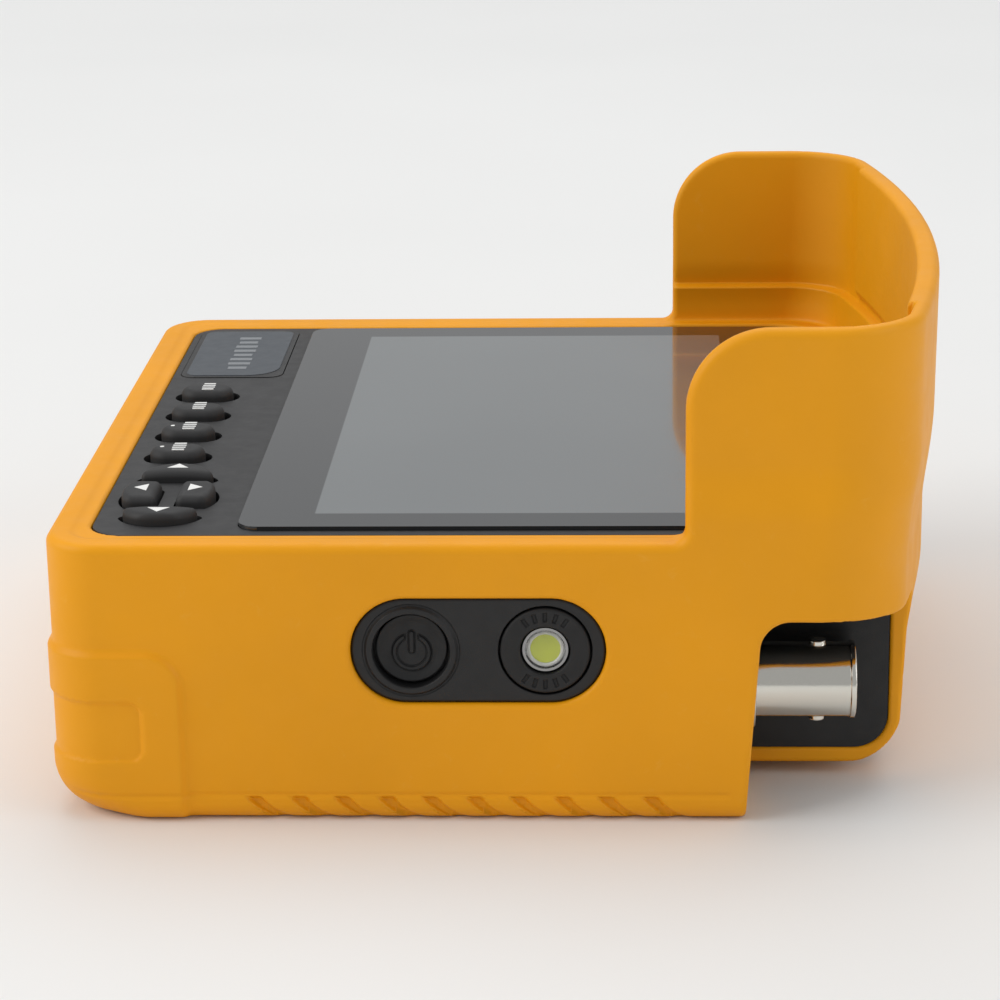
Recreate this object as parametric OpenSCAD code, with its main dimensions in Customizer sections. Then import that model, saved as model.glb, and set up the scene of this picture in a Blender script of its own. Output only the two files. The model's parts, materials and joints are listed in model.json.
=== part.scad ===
// Handheld two-port vector network analyzer in a rubber boot with a sun hood.
// X runs from the key end (-X) to the jack end (+X), Y across the instrument,
// Z up from the surface it lies on. The side with the power button is -Y.

/* [Boot] */
// Length of the boot's tub, from the key end to the jack end
boot_l = 105; // [100:0.5:112]
// Width of the boot
boot_w = 110.6; // [106:0.2:120]
// Height of the boot's rim above the table
boot_h = 35.5; // [34.5:0.1:40]
// Wall thickness of the boot
boot_t = 2.3; // [1.8:0.1:2.6]
// Width of the rim that holds the case in
rim_w = 5; // [4:0.1:5.5]
// Corner radius of the key end seen from above
boot_r = 6.5; // [5:0.5:9]
// Corner radius of the opening inside the rim
opening_r = 4.5; // [3:0.5:6]
// Height of the middle of the base above the table
base_lift = 1.5; // [1:0.1:2.5]
// Width of the foot rails along the base
rail_w = 14.5; // [10:0.5:18]
// Radius under the boot's key end
heel_r = 6.5; // [4:0.5:8]
// Radius under the jack end
toe_r = 6.5; // [3.5:0.5:7]
// How far the corner bumper pads stand out
bumper_t = 0.6; // [0.3:0.1:1.2]
// Length of a corner bumper pad along the side
bumper_l = 17; // [12:0.5:20]
// Height of a corner bumper pad
bumper_h = 21; // [16:0.5:26]
// Number of grip grooves along each side
groove_count = 10; // [4:1:12]
// Distance from one grip groove to the next
groove_pitch = 5.35; // [4.5:0.05:6]

/* [Sun hood] */
// Height of the hood's top edge above the rim
hood_rise = 25.8; // [20:0.1:34]
// Length of the hood's side walls
hood_l = 27.9; // [20:0.1:36]
// Corner radius of the hood seen from above
end_r = 9; // [7:0.5:12]
// Radius of the hood's bowed end wall seen from above
bow_r = 210; // [200:10:210]
// Radius of the hood's front upper corners
hood_corner_r = 10; // [5:0.5:14]
// Wall thickness of the hood
hood_t = 2; // [1.6:0.1:2.6]
// How far the hood's end wall bows out past the tub
hood_bow = 4.2; // [3:0.1:6]
// Outward jog of the end wall above the ledge
hood_jog = 1.4; // [0.8:0.1:2]
// Inward step of the side walls above the ledge
hood_lean = 1.2; // [0.6:0.1:1.4]
// Height of the ledge inside the hood above the rim
ledge_rise = 5.5; // [4:0.5:9]

/* [Case] */
// Wall thickness of the plastic case
case_t = 2; // [1.6:0.1:2.4]
// Depth of the front panel below the boot's rim
panel_drop = 0.4; // [0.2:0.1:1]
// Gap between the panel and the boot's opening
panel_gap = 0.2; // [0.1:0.05:0.4]
// Thickness of the rim's lip over the case
lip_t = 2.1; // [1.6:0.1:2.6]
// Length of a jack notch along the side
notch_l = 20.5; // [18:0.5:24]
// Depth of a jack notch from the side
notch_w = 15; // [14:0.5:18]
// Height of the jack notch's ceiling
notch_h = 25.3; // [24:0.1:27]

/* [Display] */
// Length of the viewing area across the instrument
view_w = 86.4; // [80:0.1:88]
// Width of the viewing area along the instrument
view_l = 51.84; // [46:0.02:54]
// Distance from the boot's key end to the viewing area
view_x = 32; // [31:0.1:34]
// Glass border at the viewing area's long edges
glass_border = 9; // [7:0.1:9.5]
// Height of the glass above the panel
glass_proud = 0.5; // [0.2:0.1:0.8]
// Thickness of the cover glass
glass_t = 1.5; // [1.1:0.1:1.8]

/* [Keys] */
// Distance from the boot's key end to the function keys' centre line
key_x = 11.6; // [11.4:0.1:12.4]
// Length of a function key
key_l = 7.2; // [6:0.1:7.6]
// Width of a function key
key_w = 4.7; // [4:0.1:5.6]
// Distance from one function key to the next
key_pitch = 9.8; // [8.5:0.05:10]
// Number of function keys
key_count = 4; // [2:1:4]
// Y position of the function key nearest the arrow keys
key_y0 = -17.7; // [-18:0.1:-15]
// Distance from the boot's key end to the centre of the arrow keys
pad_x = 13; // [12.8:0.1:14]
// Y position of the centre of the arrow keys
pad_y = -35.6; // [-36.5:0.1:-35]
// Height of the keys above the panel
key_proud = 1.6; // [1:0.1:2]
// Travel of a key
key_travel = 0.8; // [0.5:0.1:1]
// Gap round a key in its well
key_gap = 0.3; // [0.25:0.05:0.4]
// Length of the crescent left open at each end of a function key
key_slot = 0.9; // [0.3:0.1:1]

/* [Side controls] */
// Length of the window in the boot's side
window_l = 30.7; // [28:0.1:34]
// Height of the window in the boot's side
window_h = 13.4; // [13:0.1:15]
// Distance from the boot's key end to the window's centre
window_x = 52.35; // [48:0.05:56]
// Height of the window's centre
window_z = 22; // [21:0.1:23]
// Distance between the power button and the torch
side_spacing = 16.1; // [15:0.1:18]
// Travel of the side buttons
side_travel = 0.6; // [0.4:0.1:0.6]

/* [Jacks] */
// Outer diameter of a jack's nose
jack_d = 9.6; // [9.5:0.05:9.8]
// Length of a jack's barrel in front of its flange
jack_l = 12.2; // [11:0.1:13]
// Distance of a jack's axis from the side of the boot
jack_inset = 9; // [8.8:0.1:9.4]
// Height of a jack's axis above the table
jack_z = 15.25; // [14.5:0.05:16]

/* [Hidden] */

$fn = 64;
eps = 0.01;
fit = 0.2;          // clearance between a piece and the pocket it sits in
nap = 0.05;         // clearance of a close fit

// Boot
total_l = bumper_t + boot_l + hood_bow + hood_jog;
x_key = bumper_t - total_l / 2;          // key end of the tub
x_jack = x_key + boot_l;                 // jack end of the tub
half_w = boot_w / 2;
hood_h = boot_h + hood_rise;
ledge_h = boot_h + ledge_rise;
hood_x = x_jack - hood_l;                // front edge of the hood's sides
notch_x = x_jack - notch_l;              // jack end of the boot's side walls
notch_y = half_w - notch_w;              // inner side of a jack notch
hood_z0 = notch_h - 4;                   // foot of the bowed part of the end wall
hood_step = 1.2;                         // width of the ledge inside the hood
notch_r = 3.5;
toe_l = 4;                               // length of the lifted strip behind the toe
lip_w = boot_t + 6;                      // width of the base skin that wraps under the case
groove_x0 = x_key + 26;
groove_w = 2;
groove_depth = 0.7;
groove_rise = 3.2;                       // height of the grip grooves above the table

// Case
panel_z = boot_h - panel_drop;
shoulder_z = boot_h - lip_t;
case_z = base_lift + boot_t;             // underside of the case
case_x0 = x_key + boot_t;
case_x1 = x_jack - boot_t;
case_y = half_w - boot_t;
case_r = boot_r - boot_t;
case_end_r = end_r + 3;                  // corner radius of the case at the jack end
panel_x0 = x_key + rim_w + panel_gap;
panel_x1 = x_jack - rim_w - panel_gap;
panel_y = half_w - rim_w - panel_gap;
panel_r = opening_r - panel_gap;
panel_end_r = end_r - panel_gap;
split_z = notch_h;                       // where the two halves of the case meet
jack_wall_x = notch_x + 0.3;             // outer face of the wall that carries the jacks
floor_z = case_z + case_t;
boss_z0 = floor_z - 0.3;                 // foot of the case's screw bosses

// Display
glass_z1 = panel_z + glass_proud;
glass_z0 = glass_z1 - glass_t;
view_x0 = x_key + view_x;
view_xc = view_x0 + view_l / 2;
glass_l = view_l + 2 * glass_border;
glass_w = 2 * panel_y - 3.7;
glass_r = 2.5;
module_l = view_l + 5.3;
module_w = view_w + 10.4;
module_z1 = panel_z - case_t - 0.1;
module_z0 = module_z1 - 4.1;
frame_t = 0.5;
cell_t = 1.7;
light_t = 1.6;

// Nameplate
plate_l = 14.6;
plate_w = 26.5;
plate_t = 0.5;
plate_r = 2;
plate_far_gap = 1.6;

// Keys
key_xc = x_key + key_x;
pad_xc = x_key + pad_x;
key_z1 = panel_z + key_proud;
flange_z = panel_z - case_t - 1.6;       // underside of the keys
flange_t = 0.8;
flange_w = 0.6;
cap_l = 4;                               // left and right arrow keys: size away from the centre
cap_w = 9.8;                             // and across it
cap_inner = 7;                           // distance of their straight edge from the centre
cap_arc = 5.4;                           // radius of their outer edge
wing_l = 4.75;                           // up and down arrow keys, in the same way
wing_w = 7.4;
wing_inner = 1.25;
wing_arc = 6.5;
arrow_r = 0.9;                           // corner radius of the arrow keys
mat_t = 0.6;
mat_z1 = flange_z - key_travel - 0.1;
mat_z0 = mat_z1 - mat_t;
dome_t = 0.25;
board_t = 1.2;
keyboard_z1 = mat_z0 - dome_t - nap;
keyboard_z0 = keyboard_z1 - board_t;
keyboard_x0 = case_x0 + case_t + 0.5;
keyboard_x1 = pad_xc + wing_inner + wing_l + 1.8;
keyboard_y0 = -case_y + case_t + 2;
keyboard_y1 = 23;
keyboard_post_r = 1.8;

// Side controls
window_xc = x_key + window_x;
power_x = window_xc - side_spacing / 2;
torch_x = window_xc + side_spacing / 2;
plate_face_y = -half_w + 0.6;            // outer face of the side key plate
plate_back_y = -case_y;
power_r = 4.3;
torch_r = 5.4;
torch_bore_r = 3;
side_gap = 0.3;
side_flange_t = 0.9;
side_flange_y = plate_back_y + 0.1;
stem_y = plate_back_y + 2.8;             // inner end of the side buttons
switch_y = stem_y + side_travel + 0.1;   // plungers of the side switches
switch_body_y = switch_y + 0.6;
side_board_y = switch_body_y + 2.4;
side_board_t = 1.2;
side_board_l = 30;
side_board_z0 = 15.6;
side_board_z1 = 28;
finger_x = 4.6;                          // offset of the torch button's finger
post_r = 1.4;                            // post that carries the torch lamp

// Boards
main_t = 1.6;
board_head_t = 1;                        // height of a board screw's head
main_z0 = min(split_z + 0.3, keyboard_z0 - main_t - board_head_t - 0.3);
main_z1 = main_z0 + main_t;
main_x0 = case_x0 + 11.2;
main_x1 = case_x1 - 8.5;
main_y = case_y - case_t - 2;
rf_z1 = jack_z - 0.45;
rf_z0 = rf_z1 - 1.6;
rf_x0 = x_key + 55;
rf_x1 = x_jack - 12;
rf_y = 30;
rf_wing_x = rf_x0 + 13;
rf_wing_x1 = jack_wall_x - case_t - 6.4;
can_l = 26;
can_w = 20;
can_h = 4;
socket_l = 7.3;
socket_w = 8.94;
socket_h = 3.26;
socket_x1 = case_x1 + 0.2;

// Battery
cell_r = 9.05;
cell_l = 65;
wrap_t = 0.4;
wrap_r = cell_r + nap + wrap_t;
battery_z = floor_z + wrap_r + 0.1;
battery_x = x_key + 23.4;                // axis of the first cell
battery_pitch = 2 * (cell_r + nap) + fit;

// Jacks
jack_y = half_w - jack_inset;
jack_r = jack_d / 2;
jack_flange_r = jack_r + 1.1;
jack_flange_t = 1;
jack_barrel_r = jack_r - 0.2;            // barrel behind the plain nose
jack_bore_r = jack_r - 0.75;
jack_thread_r = jack_r - 0.7;
jack_thread_l = 7.4;
jack_core_r = 2.5;
contact_r = 1.05;
lug_r = 1;
lug_h = 0.4;                             // how far the lugs stand out from the nose
lug_x = 8.2;                             // distance of the bayonet lugs from the flange
nose_l = 2.8;
jack_tip_z = jack_flange_t + jack_l;     // front end of the jack from the wall
washer_t = 0.9;
nut_t = 2.2;
washer_r = jack_r + 0.2;
nut_af = 2 * washer_r;                   // nut size across its flats

// Fasteners
boss_r = 3.4;
case_screw_r = 1.4;
case_head_r = 2.6;
pilot_r = 0.9;
board_screw_r = 1;
board_head_r = 1.8;
post_screw_r = 2.6;
case_bosses = [
    [view_xc - module_l / 2 - 4, case_y - 6.2], [view_xc - module_l / 2 - 4, 6.2 - case_y],
    [case_x1 - 4.3, notch_y - 7.2], [case_x1 - 4.3, 7.2 - notch_y]
];
main_posts = [
    [case_x0 + 15.7, case_y - 11], [case_x0 + 15.7, 11 - case_y],
    [jack_wall_x - case_t - 0.9, notch_y - 6.2], [jack_wall_x - case_t - 0.9, 6.2 - notch_y]
];
rf_posts = [
    [rf_x0 + 3, rf_y - 3], [rf_x0 + 3, 3 - rf_y], [rf_x1 - 3, rf_y - 3], [rf_x1 - 3, 3 - rf_y]
];
keyboard_posts = [[keyboard_x1 - 2.4, pad_y + 14.8], [keyboard_x1 - 2.4, keyboard_y1 - 3]];

// ---- shapes shared by several pieces ----

// A rectangle from corner to corner with its corners rounded
module round_rect(x0, y0, x1, y1, r) {
    translate([x0 + r, y0]) square([x1 - x0 - 2 * r, y1 - y0]);
    translate([x0, y0 + r]) square([x1 - x0, y1 - y0 - 2 * r]);
    for (x = [x0 + r, x1 - r], y = [y0 + r, y1 - r]) translate([x, y]) circle(r);
}

// A rectangle centred on X with half width y
module centred_rect(x0, x1, y, r) { round_rect(x0, -y, x1, y, r); }

// The same with corner radius r0 at x0 and r1 at x1
module end_rect(x0, x1, y, r0, r1) {
    translate([x0 + r0, -y]) square([x1 - r1 - x0 - r0, 2 * y]);
    translate([x0, r0 - y]) square([r0 + 1, 2 * (y - r0)]);
    translate([x1 - r1 - 1, r1 - y]) square([r1 + 1, 2 * (y - r1)]);
    for (s = [-1, 1]) {
        translate([x0 + r0, s * (y - r0)]) circle(r0);
        translate([x1 - r1, s * (y - r1)]) circle(r1);
    }
}

// A slot with round ends, centred, along X
module slot(l, w) {
    square([l - w, w], center = true);
    for (s = [-1, 1]) translate([s * (l - w) / 2, 0]) circle(w / 2);
}

module slab(z0, z1) { translate([0, 0, z0]) linear_extrude(z1 - z0) children(); }

// Turns an upright shape so that its Z axis points along +Y
module along_y(x, y, z) { translate([x, y, z]) rotate([-90, 0, 0]) children(); }

// Turns an upright shape so that its Z axis points along +X
module along_x(x, y, z) { translate([x, y, z]) rotate([0, 90, 0]) children(); }

module tube(r1, r0, h) {
    difference() {
        cylinder(r = r1, h = h);
        translate([0, 0, -1]) cylinder(r = r0, h = h + 2);
    }
}

// ---- rubber boot ----

// Outline of the hood: straight sides at half, an end wall that bows out by reach, and round corners
// that meet both without an edge
module hood_outline(inset, reach, half) {
    y = half - end_r;
    bow_x = x_jack + reach - bow_r;
    corner_x = bow_x + sqrt(pow(bow_r - end_r, 2) - y * y);
    far = bow_r * 2;
    intersection() {
        centred_rect(x_key + inset, corner_x + 20, half - inset, boot_r - inset);
        translate([x_key, -half]) square([corner_x - x_key, 2 * half]);
    }
    for (s = [-1, 1]) translate([corner_x, s * y]) circle(end_r - inset);
    intersection() {
        translate([bow_x, 0]) circle(bow_r - inset, $fn = 256);
        polygon([[bow_x, 0], [bow_x, 0] + far * [corner_x - bow_x, y] / (bow_r - end_r),
                 [bow_x, 0] + far * [corner_x - bow_x, -y] / (bow_r - end_r)]);
        translate([hood_x, -half]) square([boot_l, 2 * half]);
    }
}

// The hood's front cut: all that is left of its front edge, with a round upper corner
module hood_front_cut(top) {
    rotate([90, 0, 0]) linear_extrude(boot_w + 2, center = true) difference() {
        translate([x_key - 5, boot_h]) square([hood_x + hood_corner_r - x_key + 5, top - boot_h + 1]);
        translate([hood_x, boot_h - 1]) square([hood_corner_r + 1, top - hood_corner_r - boot_h + 1]);
        translate([hood_x + hood_corner_r, top - hood_corner_r]) circle(hood_corner_r);
    }
}

// Room for a jack and its plug at each corner of the jack end
module jack_notch() {
    for (side = [-1, 1]) translate([0, side * (notch_y + boot_w / 2), 0])
        rotate([90, 0, 0]) linear_extrude(boot_w, center = true)
            round_rect(notch_x, -20, x_jack + 40, notch_h, notch_r);
}

// Side view of a body from x0 to x1 with rounded lower corners. Its underside is at z0,
// and at z1 from step_x on.
module side_profile(x0, x1, z0, z1, step_x, r0, r1) {
    top = hood_h + 10;
    rotate([90, 0, 0]) linear_extrude(boot_w + 10, center = true) {
        translate([x0 + r0, z0]) square([step_x - x0 - r0, top - z0]);
        translate([x0, z0 + r0]) square([r0 + 1, top - z0 - r0]);
        translate([x0 + r0, z0 + r0]) circle(r0);
        translate([step_x - 1, z1]) square([x1 - r1 - step_x + 1, top - z1]);
        translate([x1 - r1 - 1, z1 + r1]) square([r1 + 1, top - z1 - r1]);
        translate([x1 - r1, z1 + r1]) circle(r1);
    }
}

module grip_grooves() {
    for (side = [-1, 1], i = [0 : groove_count - 1])
        translate([groove_x0 + i * groove_pitch, side * half_w, groove_rise / 2])
            rotate([0, -45, 0])
                cube([groove_w, 2 * groove_depth, 2 * groove_rise], center = true);
}

module rubber_boot() {
    color("#f0a51e") difference() {
        union() {
            // tub
            intersection() {
                slab(-5, hood_z0 + 0.5) centred_rect(x_key, x_jack + boot_r, half_w, boot_r);
                side_profile(x_key, x_jack, 0, base_lift, x_jack - toe_r - toe_l, heel_r, toe_r);
            }
            // corner bumper pads
            intersection() {
                slab(-5, bumper_h) intersection() {
                    centred_rect(x_key - bumper_t, x_jack, half_w + bumper_t, boot_r + bumper_t);
                    for (s = [-1, 1])
                        translate([x_key - 1, s > 0 ? half_w - bumper_l : -half_w - 1])
                            square([bumper_l + 1, bumper_l + 1]);
                }
                side_profile(x_key - bumper_t, x_jack, 0, 0, 0, heel_r + bumper_t, toe_r);
            }
            // upper walls, and the hood below and above its ledge
            slab(hood_z0, ledge_h) hood_outline(0, hood_bow, half_w);
            slab(ledge_h - eps, hood_h) hood_outline(0, hood_bow + hood_jog, half_w - hood_lean);
        }
        // inside of the hood
        slab(boot_h, ledge_h + eps) hood_outline(hood_t + hood_step, hood_bow, half_w);
        slab(ledge_h, hood_h + 1) hood_outline(hood_t, hood_bow + hood_jog, half_w - hood_lean);
        hood_front_cut(hood_h);
        // room for the case and its panel
        intersection() {
            slab(case_z - 1, shoulder_z) case_plan(0);
            side_profile(case_x0, case_x1, case_z, case_z, 0, heel_r - boot_t, toe_r - boot_t);
        }
        slab(shoulder_z - eps, boot_h + eps)
            end_rect(x_key + rim_w, x_jack - rim_w, half_w - rim_w, opening_r, end_r);
        jack_notch();
        // recess between the foot rails, and the open middle of the base
        slab(-1, base_lift) centred_rect(x_key + rail_w, x_jack + 20, half_w - rail_w, 3);
        slab(-1, case_z + 1) centred_rect(case_x0 + lip_w + 12, case_x1 - lip_w, half_w - rail_w - 6, 4);
        grip_grooves();
        // window for the side controls and opening for the charging plug
        along_y(window_xc, -half_w - 2, window_z)
            linear_extrude(boot_t + 4) slot(window_l, window_h);
        along_x(case_x1 - 1, 0, rf_z1 + socket_h / 2)
            linear_extrude(boot_t + 2) slot(8, 14);
        // screw access under the case's corners
        for (p = case_bosses) translate([p.x, p.y, -1]) cylinder(r = case_head_r + 0.4, h = case_z + 1 + eps);
    }
}

// ---- case ----

// The case seen from above, with rounder corners at the jack end to leave room for the hood's wall
module case_plan(inset) {
    end_rect(case_x0 + inset, case_x1 - inset, case_y - inset, case_r - inset, case_end_r - inset);
}

// The raised front panel in the boot's opening
module panel_plan(inset) {
    end_rect(panel_x0 + inset, panel_x1 - inset, panel_y - inset, panel_r - inset, panel_end_r - inset);
}

module case_outline(inset) {
    difference() {
        case_plan(inset);
        for (s = [-1, 1])
            translate([jack_wall_x - inset, s > 0 ? notch_y - inset : -half_w - 1])
                square([notch_l + 5, notch_w + inset + 1]);
    }
}

module side_holes() {
    along_y(power_x, -case_y - 1, window_z) cylinder(r = power_r + 0.7 + 0.4, h = case_t + 2);
    along_y(torch_x, -case_y - 1, window_z) cylinder(r = torch_r + 0.6 + 0.3, h = case_t + 2);
}

module front_case() {
    color("#2e2f31") difference() {
        union() {
            difference() {
                union() {
                    slab(split_z, shoulder_z - nap) case_plan(nap);
                    slab(split_z, panel_z) panel_plan(0);
                }
                // inside
                slab(split_z - 1, shoulder_z - case_t)
                    case_outline(case_t);
                slab(split_z + case_t, shoulder_z - case_t) case_plan(case_t);
                slab(split_z + case_t, panel_z - case_t) panel_plan(1);
            }
            for (p = case_bosses) translate([p.x, p.y, split_z])
                cylinder(r = boss_r, h = shoulder_z - split_z - 1);
            for (p = keyboard_posts) translate([p.x, p.y, keyboard_z1])
                cylinder(r = keyboard_post_r, h = panel_z - 1 - keyboard_z1);
        }
        // glass recess and display window
        slab(glass_z0, panel_z + 1)
            centred_rect(view_xc - glass_l / 2 - fit / 2, view_xc + glass_l / 2 + fit / 2,
                         glass_w / 2 + fit / 2, glass_r + fit / 2);
        slab(panel_z - case_t - 1, panel_z)
            centred_rect(view_x0 - 1, view_x0 + view_l + 1, view_w / 2 + 1, 1);
        // key wells
        for (i = [0 : key_count - 1]) translate([key_xc, key_y0 + i * key_pitch, panel_z - case_t - 1])
            linear_extrude(case_t + 2) slot(key_l + 2 * key_slot, key_w + 2 * key_gap);
        slab(panel_z - case_t - 1, panel_z + 1) for (a = [0 : 3]) arrow_outline(a, key_gap);
        // nameplate recess
        slab(panel_z - plate_t, panel_z + 1) plate_outline(fit / 2);
        side_holes();
        for (p = case_bosses) translate([p.x, p.y, split_z - 1]) cylinder(r = pilot_r, h = 6);
        for (p = keyboard_posts) translate([p.x, p.y, keyboard_z1 - 1]) cylinder(r = pilot_r, h = 3.6);
    }
}

module rear_case() {
    color("#1f2022") difference() {
        union() {
            difference() {
                intersection() {
                    slab(case_z - 1, split_z) case_outline(nap);
                    side_profile(case_x0 + nap, case_x1 - nap, case_z, case_z, 0,
                                 heel_r - boot_t, toe_r - boot_t);
                }
                slab(floor_z, split_z + 1) case_outline(case_t);
            }
            // lip that locates the front case
            difference() {
                union() {
                    slab(split_z - 3, split_z) case_outline(case_t - eps);
                    slab(split_z - eps, split_z + 1.2) case_outline(case_t + fit);
                }
                slab(split_z - 4, split_z + 2) case_outline(case_t + fit + 0.9);
                slab(split_z - 4, split_z + 2) translate([jack_wall_x - 8, -half_w]) square([60, boot_w]);
                translate([window_xc - side_board_l / 2 - 1, -half_w, split_z - 4])
                    cube([side_board_l + 2, 14, 6]);
                for (p = case_bosses) translate([p.x, p.y, split_z - 4]) cylinder(r = boss_r + fit, h = 6);
            }
            for (p = case_bosses) translate([p.x, p.y, boss_z0]) cylinder(r = boss_r, h = split_z - boss_z0);
            for (p = main_posts) translate([p.x, p.y, case_z])
                cylinder(r = post_screw_r, h = main_z0 - case_z);
            for (p = rf_posts) translate([p.x, p.y, case_z])
                cylinder(r = post_screw_r, h = rf_z0 - case_z);
            // ledge that carries the side board
            translate([window_xc - side_board_l / 2, side_board_y - 0.6, case_z])
                cube([side_board_l, side_board_t + 1.8, side_board_z0 - case_z - nap]);
        }
        for (p = case_bosses) translate([p.x, p.y, case_z - 1]) {
            cylinder(r = case_head_r + fit, h = 1 + 6);
            cylinder(r = case_screw_r + fit, h = split_z - case_z + 3);
        }
        for (p = main_posts) translate([p.x, p.y, main_z0 - 6]) cylinder(r = pilot_r, h = 8);
        for (p = rf_posts) translate([p.x, p.y, rf_z0 - 6]) cylinder(r = pilot_r, h = 8);
        for (s = [-1, 1]) along_x(jack_wall_x - case_t - 1, s * jack_y, jack_z)
            cylinder(r = jack_thread_r + 0.1, h = case_t + 2);
        along_x(case_x1 - case_t - 1, 0, rf_z1 + socket_h / 2)
            linear_extrude(case_t + 2) slot(socket_h + 2 * fit, socket_w + 2 * fit);
        // relief in the side walls beside the jack nuts
        for (s = [-1, 1])
            translate([jack_wall_x - case_t - 6, s * jack_y - nut_af / 2 - 0.3, jack_z - nut_af / 2 - 1])
                cube([6, nut_af + 0.6, nut_af + 2]);
        side_holes();
        // shallow label recess in the base
        slab(case_z - 1, case_z + 0.4) centred_rect(case_x0 + 24, case_x1 - 18, half_w - 26, 2);
    }
}

module case_screws() {
    color("silver") for (p = case_bosses) translate([p.x, p.y, 0]) difference() {
        union() {
            translate([0, 0, case_z + 3.6]) cylinder(r = case_head_r, h = 2.4);
            translate([0, 0, case_z + 4]) cylinder(r = case_screw_r, h = split_z - case_z - 4 - 0.1);
            translate([0, 0, split_z - 1]) cylinder(r = pilot_r, h = 5);
        }
        // cross recess
        for (a = [0, 90]) rotate([0, 0, a])
            translate([-1.5, -0.35, case_z + 3]) cube([3, 0.7, 1.8]);
    }
}

module board_screw(z, up) {
    translate([0, 0, z]) mirror([0, 0, up ? 1 : 0]) difference() {
        union() {
            cylinder(r = board_head_r, h = board_head_t);
            translate([0, 0, -5]) cylinder(r = pilot_r, h = 5 + eps);
        }
        for (a = [0, 90]) rotate([0, 0, a]) translate([-1.1, -0.25, 0.5]) cube([2.2, 0.5, 1]);
    }
}

module board_screws() {
    color("silver") {
        for (p = main_posts) translate([p.x, p.y, 0]) board_screw(main_z1, false);
        for (p = rf_posts) translate([p.x, p.y, 0]) board_screw(rf_z1, false);
        for (p = keyboard_posts) translate([p.x, p.y, 0]) difference() {
            board_screw(keyboard_z0, true);
            translate([-5, -5, keyboard_z1 + 2.5]) cube(10);
        }
    }
}

// ---- display ----

module display_glass() {
    color("#55585a") slab(glass_z0 + nap, glass_z1)
        centred_rect(view_xc - glass_l / 2, view_xc + glass_l / 2, glass_w / 2, glass_r);
}

module lcd_frame() {
    color("#b8babc") difference() {
        slab(module_z0, module_z1)
            centred_rect(view_xc - module_l / 2, view_xc + module_l / 2, module_w / 2, 0.6);
        slab(module_z0 + frame_t, module_z1 - 0.3)
            centred_rect(view_xc - module_l / 2 + frame_t, view_xc + module_l / 2 - frame_t,
                         module_w / 2 - frame_t, 0.4);
        slab(module_z0 + frame_t, module_z1 + 1)
            centred_rect(view_x0 - 0.8, view_x0 + view_l + 0.8, view_w / 2 + 0.8, 0.4);
    }
}

module lcd_backlight() {
    color("white") slab(module_z0 + frame_t, module_z0 + frame_t + light_t)
        centred_rect(view_xc - module_l / 2 + frame_t + nap, view_xc + module_l / 2 - frame_t - nap,
                     module_w / 2 - frame_t - nap, 0.3);
}

module lcd_panel() {
    color("#6f7476") slab(module_z0 + frame_t + light_t, module_z0 + frame_t + light_t + cell_t)
        centred_rect(view_xc - module_l / 2 + frame_t + nap, view_xc + module_l / 2 - frame_t - nap,
                     module_w / 2 - frame_t - nap, 0.3);
}

module plate_outline(grow) {
    round_rect(panel_x0 + 1 - grow, panel_y - plate_far_gap - plate_w - grow,
               panel_x0 + 1 + plate_l + grow, panel_y - plate_far_gap + grow, plate_r + grow);
}

module nameplate() {
    color("#4b525a") slab(panel_z - plate_t, panel_z + 0.1) plate_outline(0);
}

// ---- keys ----

// Outline of one arrow key, 0 to 3 for up (+X), left (+Y), down (-X) and right (-Y)
module arrow_outline(a, grow) {
    wing = a % 2 == 0;
    l = wing ? wing_l : cap_l;
    w = wing ? wing_w : cap_w;
    inner = wing ? wing_inner : cap_inner;
    arc = wing ? wing_arc : cap_arc;
    translate([pad_xc, pad_y]) rotate(a * 90) intersection() {
        round_rect(inner - grow, -w / 2 - grow, inner + l + grow, w / 2 + grow, arrow_r + grow);
        translate([inner + l - arc, 0]) circle(arc + grow);
    }
}

module arrow_key(a) {
    color("#333436") {
        slab(flange_z, key_z1) arrow_outline(a, 0);
        slab(flange_z, flange_z + flange_t) arrow_outline(a, flange_w);
    }
}

module key_up() { arrow_key(0); }
module key_left() { arrow_key(1); }
module key_down() { arrow_key(2); }
module key_right() { arrow_key(3); }

module function_key(i) {
    color("#333436") translate([key_xc, key_y0 + i * key_pitch, 0]) {
        slab(flange_z, key_z1) slot(key_l, key_w);
        slab(flange_z, flange_z + flange_t) slot(key_l + 2 * key_slot + flange_w, key_w + 2 * flange_w);
    }
}

function key_places() = concat(
    [for (i = [0 : key_count - 1]) [key_xc, key_y0 + i * key_pitch]],
    [for (a = [0 : 3]) [pad_xc, pad_y] + (a % 2 == 0 ? wing_inner + wing_l / 2 : cap_inner + cap_l / 2 - 0.4)
        * [cos(a * 90), sin(a * 90)]]
);

module keypad_mat() {
    color("#3a3b3d") difference() {
        slab(mat_z0, mat_z1) round_rect(keyboard_x0, keyboard_y0, keyboard_x1, keyboard_y1, 1);
        for (p = keyboard_posts) translate([p.x, p.y, mat_z0 - 1])
            cylinder(r = keyboard_post_r + fit, h = mat_t + 2);
    }
}

module key_domes() {
    color("silver") for (p = key_places())
        translate([p.x, p.y, keyboard_z1]) cylinder(r = 2, h = dome_t);
}

module keypad_board() {
    color("#1d5a35") difference() {
        slab(keyboard_z0, keyboard_z1) round_rect(keyboard_x0, keyboard_y0, keyboard_x1, keyboard_y1, 1);
        for (p = keyboard_posts) translate([p.x, p.y, keyboard_z0 - 1])
            cylinder(r = board_screw_r + fit, h = 4);
    }
}

// ---- side controls ----

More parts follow.
